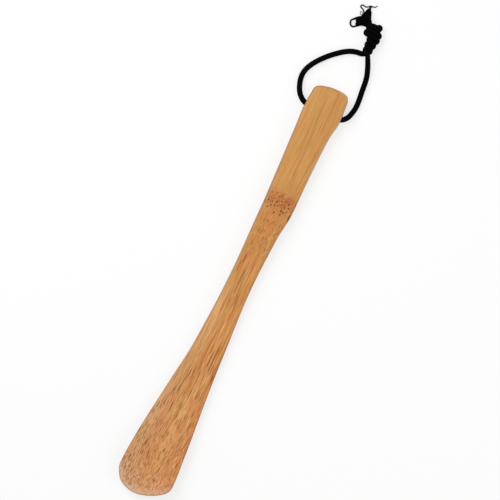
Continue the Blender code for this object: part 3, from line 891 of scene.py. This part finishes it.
LEFT_BEND = points_of([
    (2.4, 0.0, 0.0), (0.1, 0.3, 0.0), (-2.1, 1.2, -0.2), (-4.2, 2.6, -0.6), (-6.5, 4.8, -1.2),
    (-8.6, 8.0, -1.8),
])
LEFT_ROUTE = points_of([
    (-26.0, 11.6, -2.4), (-27.1, 15.5), (-27.4, 19.9), (-26.5, 24.5), (-24.5, 28.9), (-21.7, 33.3),
    (-18.2, 37.7), (-14.3, 41.9), (-10.1, 45.7), (-5.8, 49.1), (-1.2, 51.7), (3.3, 53.1), (6.9, 53.6),
])
RIGHT_BEND = points_of([
    (-5.6, -0.3, 0.0), (-3.4, -0.4, 0.0), (-1.2, 0.0, 0.0), (0.8, 1.0, -0.1), (2.4, 2.4, -0.4),
    (3.7, 4.2, -0.8), (4.6, 6.4, -1.3), (5.3, 9.2, -1.8),
])
RIGHT_ROUTE = points_of([
    (21.2, 13.0, -2.5), (21.2, 17.3), (20.8, 21.7), (20.2, 26.2), (19.7, 30.7), (19.2, 35.1),
    (18.3, 39.5, -2.5), (16.8, 43.7, -1.7), (14.8, 48.4, -0.4),
])
LEFT_CUT_END = points_of([(3.0, 76.0, 0.6), (1.0, 80.1, -1.2), (-0.8, 86.0)], KNOT_RADIUS)
RIGHT_CUT_END = points_of(
    [(3.3, 73.6, -0.2), (2.1, 75.1, -2.4), (-1.4, 76.2), (-5.5, 75.2)], KNOT_RADIUS
)
print("points by hand, left and right:", len(LEFT_BEND + LEFT_ROUTE), len(RIGHT_BEND + RIGHT_ROUTE))

# %% [markdown]
# ## The knot's path
#
# In the knot the two ends wind round each other like the strands of a rope, and the winding
# grows wider toward its top. A flattened helix describes it: each turn is two straight runs joined
# by half circles, and the runs grow longer as the knot widens. The two ends are half a turn
# apart, so that they interlock.
#
# A knot tied by hand isn't that regular. It has a narrow foot, a waist and a wider top, so the
# turns here also sway sideways and are drawn in, by up to about 2 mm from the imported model's.

# %% One strand's turns in the knot
KNOT_BASE = (0.0110, 0.0560)
KNOT_LEAN = math.radians(10)
KNOT_LENGTH = 0.0210
KNOT_TURNS = 2.45
RIGHT_LEAVES_AT_TURN = 1.90
KNOT_RUNS = (0.0014, 0.0033)
KNOT_WIDENS = (0.30, 0.70)
# how far the turns sway to the right, and how much narrower they are drawn, up the knot
KNOT_SWAYS = [
    (0.00, -0.0005), (0.12, -0.0006), (0.30, 0.0002), (0.46, 0.0010), (0.60, 0.0016),
    (0.76, -0.0010), (0.90, -0.0021), (1.00, -0.0019),
]
KNOT_DRAWN_IN = [
    (0.00, 0.0012), (0.12, 0.0012), (0.30, 0.0006), (0.46, 0.0010), (0.60, 0.0009),
    (0.76, -0.0006), (0.90, -0.0003), (1.00, 0.0000),
]
TURN_CLEARANCE = 0.00035
TURN_RADIUS = KNOT_RADIUS + TURN_CLEARANCE
KNOT_MIDDLE_Z = KNOT_RADIUS + ABOVE_TABLE - BORE_Z + TURN_RADIUS


def flat_turn(turn, run):
    """How far to the side and up a strand is after some turns of the flattened helix."""
    half_turn = 2 * run + math.pi * TURN_RADIUS
    halves_done, along = divmod(turn * 2 * half_turn + run, half_turn)
    way = 1 if halves_done % 2 == 0 else -1
    if along < 2 * run:
        return way * (along - run), -way * TURN_RADIUS
    angle = (along - 2 * run) / TURN_RADIUS
    return way * (run + TURN_RADIUS * math.sin(angle)), -way * TURN_RADIUS * math.cos(angle)


def winding(first_turn, last_turn, steps=48):
    points = []
    for k in range(steps + 1):
        share = k / steps
        turn = KNOT_TURNS * share
        if turn > last_turn:
            break
        opened = min(1.0, max(0.0, (share - KNOT_WIDENS[0]) / (KNOT_WIDENS[1] - KNOT_WIDENS[0])))
        opened *= opened * (3 - 2 * opened)
        run = KNOT_RUNS[0] + (KNOT_RUNS[1] - KNOT_RUNS[0]) * opened
        run -= float(np.interp(share, *zip(*KNOT_DRAWN_IN)))
        side, up = flat_turn(first_turn + turn, run)
        side += float(np.interp(share, *zip(*KNOT_SWAYS)))
        x = KNOT_BASE[0] + side * math.cos(KNOT_LEAN) - KNOT_LENGTH * share * math.sin(KNOT_LEAN)
        y = KNOT_BASE[1] + side * math.sin(KNOT_LEAN) + KNOT_LENGTH * share * math.cos(KNOT_LEAN)
        points.append((x, y, KNOT_MIDDLE_Z + up))
    return points


left_turns, right_turns = winding(0.0, KNOT_TURNS), winding(0.5, RIGHT_LEAVES_AT_TURN)
print("points in the knot, left and right:", len(left_turns), len(right_turns))

# %% [markdown]
# One smooth line goes through all the points of a half. Its bends are set by the distances
# between the points, so it doesn't kink or swing where the points change from close to wide.

# %% A smooth line through the points
POINTS_BETWEEN = 16


def smooth_line(points, step):
    points = [Vector(p) for p in points]
    points = [2 * points[0] - points[1], *points, 2 * points[-1] - points[-2]]
    fine_line = []
    for before, start, end, after in zip(points, points[1:], points[2:], points[3:]):
        pairs = ((before, start), (start, end), (end, after))
        a, b, c = [math.sqrt((q - p).length) for p, q in pairs]
        lead = ((start - before) / a - (end - before) / (a + b) + (end - start) / b) * b
        tail = ((end - start) / b - (after - start) / (b + c) + (after - end) / c) * b
        for k in range(POINTS_BETWEEN):
            t = k / POINTS_BETWEEN
            rest = 1 - t
            on_curve = start * (1 + 2 * t) * rest**2 + end * (3 - 2 * t) * t**2
            fine_line.append(on_curve + lead * t * rest**2 - tail * rest * t**2)
    fine_line.append(points[-2])
    return evenly(np.array(fine_line), step)


def distances_along(line):
    return np.concatenate([[0], np.cumsum(np.linalg.norm(np.diff(line, axis=0), axis=1))])


def evenly(line, step):
    along = distances_along(line)
    at = np.linspace(0, along[-1], max(3, round(along[-1] / step) + 1))
    return np.stack([np.interp(at, along, line[:, k]) for k in range(3)], axis=1)


BORE_MIDDLE = np.array((0.0, BORE_Y, BORE_Z))
MEASURING_STEP = 0.0010
BRAID_STEP = 0.00028
halves = {}
for side, mouth, bend, route, turns, cut_end in (
    ("left", left_mouth, LEFT_BEND, LEFT_ROUTE, left_turns, LEFT_CUT_END),
    ("right", right_mouth, RIGHT_BEND, RIGHT_ROUTE, right_turns, RIGHT_CUT_END),
):
    inside = [((mouth + bend[0][0]) * k / 3, 0.0, 0.0) for k in range(3)]
    outside = [(mouth + x, y, z) for x, y, z in bend]
    points = [*inside, *outside, *route, *turns, *cut_end]
    whole = smooth_line(points, MEASURING_STEP)
    along = distances_along(whole)
    nearest = int(np.linalg.norm(whole - np.array(route[-1]), axis=1).argmin())
    halves[side] = {
        "line": smooth_line(points, BRAID_STEP) + BORE_MIDDLE,
        "free": float(along[nearest]),
        "whole": float(along[-1]),
    }
    print(side, "half, mm:", round(halves[side]["whole"] * 1000, 1))

# %% [markdown]
# ## The braid
#
# Such a cord is braided from sixteen flat strands, eight that wind to the left and eight to the
# right, each going over one and under the next. Sixteen separate tubes would do it, but they
# would make ten times the faces for the same look. Here one tube is swept along the path and
# each of its points is raised or lowered by the braid's own formula: the higher of the two
# strands that cross there.

# %% The braid's relief, as a share of the cord's radius
STRANDS = 8
BRAID_PITCH = 0.0145
STRAND_ROUND = 0.060
OVER_UNDER = 0.045


def braid_relief(turn, along):
    left = STRANDS * (turn + along / BRAID_PITCH)
    right = STRANDS * (turn - along / BRAID_PITCH)
    heights = []
    for own, other, over in ((left, right, OVER_UNDER), (right, left, -OVER_UNDER)):
        strand = np.round(own)
        rounded = np.sqrt(np.clip(1 - (2 * (own - strand)) ** 2, 0, 1))
        heights.append(STRAND_ROUND * rounded + over * np.cos(np.pi * (strand + other)))
    return np.maximum(*heights) - STRAND_ROUND - OVER_UNDER


print("relief on a strand and between two:", braid_relief(0, 0), braid_relief(0.5 / STRANDS, 0))

# %% Sweep a tube along a line
def side_directions(line):
    ways = np.gradient(line, axis=0)
    ways /= np.linalg.norm(ways, axis=1)[:, None]
    side = np.cross(ways[0], (0, 0, 1.0))
    side /= np.linalg.norm(side)
    sides = []
    for way in ways:
        side = side - way * (side @ way)
        side /= np.linalg.norm(side)
        sides.append(side)
    sides = np.array(sides)
    return sides, np.cross(ways, sides)


def swept_tube(line, radii, sides, relief=None):
    """The rings of a tube's points along the line, and how far along it each ring is."""
    across, up = side_directions(line)
    along = distances_along(line)
    turn = np.arange(sides) / sides
    raised = np.ones((len(line), sides))
    if relief is not None:
        raised += relief(turn[None, :], along[:, None])
    radius = np.asarray(radii).reshape(-1, 1) * raised
    angle = 2 * np.pi * turn
    points = line[:, None] + radius[..., None] * (
        np.cos(angle)[None, :, None] * across[:, None] + np.sin(angle)[None, :, None] * up[:, None]
    )
    return points, along


def add_tube(mesh, points, along, layer=None):
    """Put a tube in the mesh. With a layer, each point carries its turn round and way along."""
    rings = []
    for ring, distance in zip(points, along):
        rings.append([mesh.verts.new(place) for place in ring])
        for k, vert in enumerate(rings[-1]):
            if layer is not None:
                vert[layer] = (k / len(ring), distance, 0)
    skin(mesh, rings)
    mesh.faces.new(reversed(rings[0]))
    mesh.faces.new(rings[-1])


print("rings along the left half:", len(halves["left"]["line"]))

# %% [markdown]
# The relief only lowers the surface, so the braided tube starts a little thicker than the cord.
# It grows thin where the end has frayed, and a tight knot presses it oval.

# %% Braid the two halves
CORD_SIDES = 48
BRAID_SWELL = 1.03
FRAYED_LENGTH = 0.010
FRAYED_THINNER, FRAYED_POWER = 0.62, 0.7
PRESSING = 0.010
PRESSED_AT_ENTRY = 0.1
PRESSED_ACROSS, PRESSED_ALONG = 0.84, 1.10
TABLE_GAP = 0.00002
knot_way = np.array((-math.sin(KNOT_LEAN), math.cos(KNOT_LEAN), 0.0))


def pressed(points, line, share):
    """Strands in the knot are oval: flatter across it, and wider along it where they touch."""
    offset = points - line[:, None]
    along_knot = (offset @ knot_way)[..., None] * knot_way
    oval = (offset - along_knot) * PRESSED_ACROSS + along_knot * PRESSED_ALONG
    return line[:, None] + offset + (oval - offset) * share[:, None, None]


braided = {}
for side, half in halves.items():
    line = half["line"]
    along = np.linspace(0, half["whole"], len(line))
    frayed = np.clip((along - half["whole"]) / FRAYED_LENGTH + 1, 0, 1)
    radii = CORD_RADIUS * BRAID_SWELL * (1 - FRAYED_THINNER * frayed**FRAYED_POWER)
    points, distances = swept_tube(line, radii, CORD_SIDES, braid_relief)
    in_knot = np.clip((along - half["free"]) / PRESSING + PRESSED_AT_ENTRY, 0, 1)
    points = pressed(points, line, in_knot)
    points[..., 2] = np.maximum(points[..., 2], TABLE_GAP)
    mesh = bmesh.new()
    add_tube(mesh, points, distances, mesh.verts.layers.float_vector.new("round_and_along"))
    braided[side] = add_piece(f"cord_{side}_braid", mesh, sharp_angle=60)
    print(side, "braid faces:", len(braided[side].data.polygons))

# %% [markdown]
# ## The frayed ends
#
# Where the cord was cut, its braid has come apart into tufts. Hair is modelled the same way: a
# few guide lines are given, each for one lock, and many fibres follow each guide, spread
# out by the lock's width. The guides follow the two tufts, one that points left along the table
# and one that points away from the knot in a spike.

# %% Guides of the locks
# each lock: its guide's points, its widths from root to tip, all in mm, and how many fibres
SIDE_LOCKS = [
    ([(1.5, 232.0, 3.6), (-2.6, 234.1, 3.0), (-6.6, 233.2, 2.4), (-9.8, 230.8, 2.0), (-11.7, 228.6, 1.5)],
     (3.6, 3.8, 2.8, 1.6, 0.7), 140),
    ([(1.7, 231.2, 3.4), (-2.4, 231.9, 2.8), (-5.8, 230.9, 2.2), (-8.9, 229.3, 1.7)],
     (3.6, 3.8, 3.4, 2.6), 140),
    ([(2.0, 230.2, 3.2), (-1.6, 230.2, 2.6), (-4.7, 228.9, 2.0), (-8.0, 226.9, 1.4)],
     (3.2, 3.4, 3.2, 2.4), 120),
]
SPIKE_LOCKS = [
    ([(3.1, 229.5, 4.8), (0.2, 232.9, 4.2), (-1.4, 237.0, 3.4), (-2.0, 240.7, 2.6), (-2.8, 244.3, 2.0)],
     (4.0, 4.6, 3.6, 2.4, 1.3), 170),
    ([(1.4, 230.3, 4.6), (-2.1, 233.2, 4.0), (-3.5, 235.7, 3.2), (-3.7, 238.6, 2.6), (-3.2, 243.2, 1.9)],
     (3.4, 4.2, 3.8, 2.4, 1.2), 130),
    ([(4.4, 230.6, 4.8), (1.7, 234.2, 4.0), (-0.4, 237.5, 3.4), (-1.4, 240.8, 2.6), (-2.5, 244.0, 2.0)],
     (2.6, 2.6, 2.2, 1.8, 1.1), 90),
    ([(-0.3, 230.5, 4.2), (-3.6, 233.2, 3.4), (-5.2, 235.1, 2.8), (-5.9, 237.6, 2.0)],
     (3.0, 3.4, 2.4, 0.7), 80),
]
print("fibres:", sum(count for _, _, count in SIDE_LOCKS + SPIKE_LOCKS))

# %% Locks of fibre along the guides
FIBRE_RADIUS = 0.00015
FIBRE_STEP = 0.0006
FIBRE_SIDES = 5
FIBRE_TAPER = (1.15, 0.75)
FIBRE_WAVES = (6, 16)
FIBRE_SWING = (0.00005, 0.00022)
LOCK_FLATNESS = 0.75
SHORTEST_FIBRE = 0.82
LEAST_POINTS = 6
TUFT_TABLE_GAP = 0.00005
fibre_rng = np.random.default_rng(7)


def lock_of_fibres(guide, widths, count):
    guide_line = smooth_line([Vector(p) / 1000 for p in guide], FIBRE_STEP)
    at_widths = np.linspace(0, 1, len(widths))
    for _ in range(count):
        angle = fibre_rng.uniform(0, 2 * np.pi)
        distance = math.sqrt(fibre_rng.uniform(0, 1)) / 2
        reach = fibre_rng.uniform(SHORTEST_FIBRE, 1.0)
        kept = guide_line[: max(LEAST_POINTS, int(len(guide_line) * reach))]
        share = np.linspace(0, reach, len(kept))
        spread = np.interp(share, at_widths, widths) / 1000 * distance
        across, up = side_directions(kept)
        pace, start = fibre_rng.uniform(*FIBRE_WAVES), fibre_rng.uniform(0, 6.28)
        swing = fibre_rng.uniform(*FIBRE_SWING) * np.sin(pace * share + start) * share
        line = kept + (spread * np.cos(angle) + swing)[:, None] * across
        line += (spread * np.sin(angle) * LOCK_FLATNESS)[:, None] * up
        line[:, 2] = np.maximum(line[:, 2], FIBRE_RADIUS + TUFT_TABLE_GAP)
        yield line


def tuft(name, locks):
    mesh = bmesh.new()
    for lock in locks:
        for line in lock_of_fibres(*lock):
            radii = FIBRE_RADIUS * np.linspace(*FIBRE_TAPER, len(line))
            add_tube(mesh, *swept_tube(line, radii, FIBRE_SIDES))
    piece = add_piece(name, mesh, sharp_angle=80)
    print(name, "faces:", len(piece.data.polygons))
    return piece


side_tuft = tuft("frayed_end_side", SIDE_LOCKS)
spike_tuft = tuft("frayed_end_spike", SPIKE_LOCKS)

# %% [markdown]
# ## Loose yarns
#
# A few yarns have come right out of the tufts. One bows out from the spike and ends beyond it,
# one closes a small loop at the left tuft, one is a tiny ring, and a thick one curls up beside
# the knot. A small knob of tangled fibre sits on the spike's point. The yarns are thinner than a
# strand and thicker than a fibre, and lie where the photograph shows them.

# %% Guides of the loose yarns
YARNS = {
    # each yarn: its points and its radii along it, in mm
    "top": (
        [(-4.4, 235.8, 2.8), (-5.5, 238.2, 2.2), (-6.8, 239.8, 1.8), (-8.6, 240.6, 1.2),
         (-9.8, 241.4, 1.0), (-9.3, 242.9, 0.8), (-7.9, 243.0, 0.9), (-6.3, 242.7, 1.2),
         (-4.5, 243.5, 1.6), (-3.0, 244.7, 1.8), (-1.3, 245.2, 1.4), (0.5, 245.6, 1.0),
         (1.3, 246.4, 0.8), (1.7, 247.6, 0.6)],
        (0.62, 0.60, 0.55, 0.55, 0.52, 0.36),
    ),
    "loop": (
        [(-8.5, 231.7, 2.2), (-10.6, 230.0, 1.9), (-11.8, 228.4, 1.5), (-11.6, 226.9, 1.2),
         (-10.8, 225.4, 1.0), (-9.6, 224.6, 0.9), (-8.0, 224.8, 0.9), (-6.3, 226.3, 1.1),
         (-4.4, 227.8, 1.4)],
        (0.95, 0.75, 0.75, 0.75, 0.85),
    ),
    "ring": (
        [(-5.5, 235.5, 2.2), (-7.2, 235.9, 1.6), (-8.1, 236.8, 1.2), (-8.0, 237.9, 1.0),
         (-6.9, 237.8, 1.4), (-6.0, 236.8, 2.2)],
        (0.30, 0.26, 0.24),
    ),
    "curl": (
        [(8.0, 229.4, 5.2), (8.8, 230.9, 4.6), (8.6, 232.4, 4.0), (9.5, 233.8, 3.6),
         (11.2, 234.0, 3.4), (12.4, 232.8, 3.4), (12.5, 231.3, 3.6), (11.3, 230.4, 4.0),
         (10.3, 230.9, 4.2)],
        (1.10, 1.05, 0.95, 0.60),
    ),
}
print("guides of loose yarns:", len(YARNS))

# %% Loose yarns and the knob
YARN_STEP = 0.00025
YARN_SIDES = 18
PLIES, PLY_PITCH, PLY_DEPTH = 3, 0.004, 0.12
KNOB_RADIUS, KNOB_STRETCH = 0.00095, 1.3
KNOB_UNEVEN, KNOB_WAVES = 0.10, (4000, 3400, 2600)
KNOB_PLACE = Vector((-0.0027, 0.2445, 0.0018))


def plied(turn, along):
    return PLY_DEPTH * (np.abs(np.cos(np.pi * PLIES * (turn + along / PLY_PITCH))) - 1)


def yarn(name, guide, widths):
    line = smooth_line([Vector(p) / 1000 for p in guide], YARN_STEP)
    share = np.linspace(0, 1, len(line))
    radii = np.interp(share, np.linspace(0, 1, len(widths)), widths) / 1000
    line[:, 2] = np.maximum(line[:, 2], radii + TUFT_TABLE_GAP)
    mesh = bmesh.new()
    add_tube(mesh, *swept_tube(line, radii, YARN_SIDES, plied))
    return add_piece(f"yarn_{name}", mesh, sharp_angle=80)


yarns = {name: yarn(name, *recipe) for name, recipe in YARNS.items()}
knob_mesh = bmesh.new()
bmesh.ops.create_icosphere(knob_mesh, subdivisions=3, radius=KNOB_RADIUS)
for vert in knob_mesh.verts:
    x, y, z = [at * pace for at, pace in zip(vert.co, KNOB_WAVES)]
    vert.co *= 1 + KNOB_UNEVEN * math.sin(x) * math.sin(y + z)
    vert.co.x *= KNOB_STRETCH
    vert.co += KNOB_PLACE
knob = add_piece("yarn_knob", knob_mesh, sharp_angle=80)
print("loose yarns:", len(yarns), "and a knob of", len(knob.data.polygons), "faces")

# %% [markdown]
# ## The cord's black
#
# The cord is dyed black, and its fibres have a dull sheen. Black that is too even looks like
# rubber, so its depth and its sheen vary a little in small patches, and a fine relief draws the
# filaments in each strand. The same recipe with a plain noise for its relief serves the frayed
# fibres.

# %% Cord materials
FILAMENTS = 5
DEEPEST_BLACK = (0.0003, 0.0003, 0.0004, 1.0)
WORN_BLACK = (0.0014, 0.0014, 0.0015, 1.0)
CORD_GLOSS = 0.02
CORD_RELIEF_STRENGTH, CORD_RELIEF_DEPTH = 0.5, 0.00004


def cord_material(name, braided_one):
    cord = Recipe(bpy.data.materials.new(name))
    place = cord.node("ShaderNodeTexCoord")["Object"]
    if braided_one:
        carried = cord.node("ShaderNodeAttribute", attribute_name="round_and_along")["Vector"]
        turn, along, _ = cord.parts(carried)
        ridges = []
        for way in (1, -1):
            slanted = cord.math("MULTIPLY_ADD", along, way / BRAID_PITCH, turn)
            ridges.append(cord.math("SINE", cord.times(slanted, 2 * math.pi * STRANDS * FILAMENTS)))
        height = cord.times(cord.math("ADD", *ridges), 0.5)
    else:
        height = cord.noise(place, (4000, 4000, 4000))
    patches = cord.noise(place, (700, 700, 700), 3.0)
    black = cord.blend(cord.between(patches, 0.35, 0.7), DEEPEST_BLACK, WORN_BLACK)
    roughness = cord.between(patches, 0.3, 0.7, 0.45, 0.62)
    cord.coat(black, roughness, CORD_GLOSS, height, CORD_RELIEF_STRENGTH, CORD_RELIEF_DEPTH)
    return cord.owner


braid_black = cord_material("cord_braided_black", True)
fibre_black = cord_material("cord_fibre_black", False)
for piece in braided.values():
    piece.data.materials.append(braid_black)
for piece in (side_tuft, spike_tuft, knob, *yarns.values()):
    piece.data.materials.append(fibre_black)
print("nodes in the braid's black:", len(braid_black.node_tree.nodes))

# %% [markdown]
# ## What the cord is
#
# The cord is declared with its real length and where it leaves the horn. Each half rides on the
# cord's body, stands for the two solids along it, and takes its own tuft with it.

# %% Ride, replace and declare
PATH_STRIDE = 4
for side, mouth, ends in (
    ("left", left_mouth, [spike_tuft, knob, yarns["top"], yarns["ring"], yarns["curl"]]),
    ("right", right_mouth, [side_tuft, yarns["loop"]]),
):
    piece, line = braided[side], halves[side]["line"]
    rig.replaces(piece, f"cord_{side}", f"knot_{side}_end")
    for part in (piece, *ends):
        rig.ride(part, "cord")
        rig.slot(part, "cord")
    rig.cord(
        piece,
        exit=(mouth, BORE_Y, BORE_Z),
        length=round(halves[side]["whole"], 3),
        diameter=2 * CORD_RADIUS,
        far_end="knot",
        stiffness="limp",
        lay="loose",
        path=[*line[:-1:PATH_STRIDE].tolist(), line[-1].tolist()],
        with_pieces=ends,
    )
    print(side, "half declared, mm:", round(halves[side]["whole"] * 1000))

# %% [markdown]
# ## Floor and light
#
# The photograph is a plain product picture on white. The floor is pale and matt, and what the
# camera sees of it is lifted to white by a glow that lights nothing, so the soft shadow under
# the horn stays. The light is a large soft lamp from the left and a weaker one from the right,
# in a white room, at a level where a colour looks as it was mixed.
#
# The floor is a tenth of a millimetre lower than the horn's flat back. Two faces in one plane
# would show through each other in specks.

# %% Floor
WHITE = (1.0, 1.0, 1.0, 1.0)
FLOOR_COLOUR = (0.95, 0.95, 0.95, 1.0)
FLOOR_HALF = 3.0
FLOOR_Z = -0.0001
FLOOR_GLOW = 0.72


def seen_and_lit(recipe, lit, seen, share, output):
    """One shader lights the scene. The camera, reflections and glass see a share of another."""
    path = recipe.node("ShaderNodeLightPath")
    direct = recipe.math("MAXIMUM", path["Is Camera Ray"], path["Is Glossy Ray"])
    direct = recipe.math("MAXIMUM", direct, path["Is Transmission Ray"])
    mixed = recipe.node("ShaderNodeMixShader", [recipe.times(direct, share), lit, seen])
    recipe.node(output, {"Surface": mixed[0]})


white_floor = Recipe(bpy.data.materials.new("floor_white"))
white_floor.tree.nodes.clear()
matt = white_floor.node("ShaderNodeBsdfDiffuse", {"Color": FLOOR_COLOUR})[0]
glow = white_floor.node("ShaderNodeEmission", {"Color": WHITE})[0]
seen_and_lit(white_floor, matt, glow, FLOOR_GLOW, "ShaderNodeOutputMaterial")
floor_mesh = bmesh.new()
corners = [(x * FLOOR_HALF, y * FLOOR_HALF, FLOOR_Z) for x, y in ((-1, -1), (1, -1), (1, 1), (-1, 1))]
floor_mesh.faces.new([floor_mesh.verts.new(corner) for corner in corners])
floor = add_piece("floor", floor_mesh)
floor.data.materials.append(white_floor.owner)
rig.stage(floor)
print("floor's side, m:", 2 * FLOOR_HALF)

# %% Lamps and the white room
ROOM_LIGHT, ROOM_SEEN = 0.50, 1.0
LAMP_SIDE = 0.90
room = Recipe(bpy.data.worlds.new("white_room"))
bpy.context.scene.world = room.owner
room.tree.nodes.clear()
lit, seen = [
    room.node("ShaderNodeBackground", {"Color": WHITE, "Strength": strength})[0]
    for strength in (ROOM_LIGHT, ROOM_SEEN)
]
seen_and_lit(room, lit, seen, 1.0, "ShaderNodeOutputWorld")


def soft_lamp(name, place, power):
    data = bpy.data.lights.new(name, "AREA")
    data.shape = "SQUARE"
    data.size = LAMP_SIDE
    data.energy = power
    lamp = bpy.data.objects.new(name, data)
    lamp.location = place
    lamp.rotation_mode = "QUATERNION"
    lamp.rotation_quaternion = (-Vector(place)).to_track_quat("-Z", "Y")
    bpy.context.scene.collection.objects.link(lamp)


soft_lamp("key_lamp", (-0.80, 0.40, 0.95), 10.0)
soft_lamp("fill_lamp", (0.85, 0.05, 0.90), 3.5)
bpy.context.scene.view_settings.view_transform = "Standard"
print("lamps:", len(bpy.data.lights))

# %% [markdown]
# ## Measure and finish
#
# The imported model's box and the dressed model's box are both written down, and the dressed one
# is printed.

# %% Sizes of the two boxes
low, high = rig.bounds()
shown_box = [list(low), list(high)]
with open("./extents.json", "w") as file:
    json.dump({"cad": cad_box, "visual": shown_box}, file)
print("shown box, mm:", [[round(c * 1000, 1) for c in corner] for corner in shown_box])
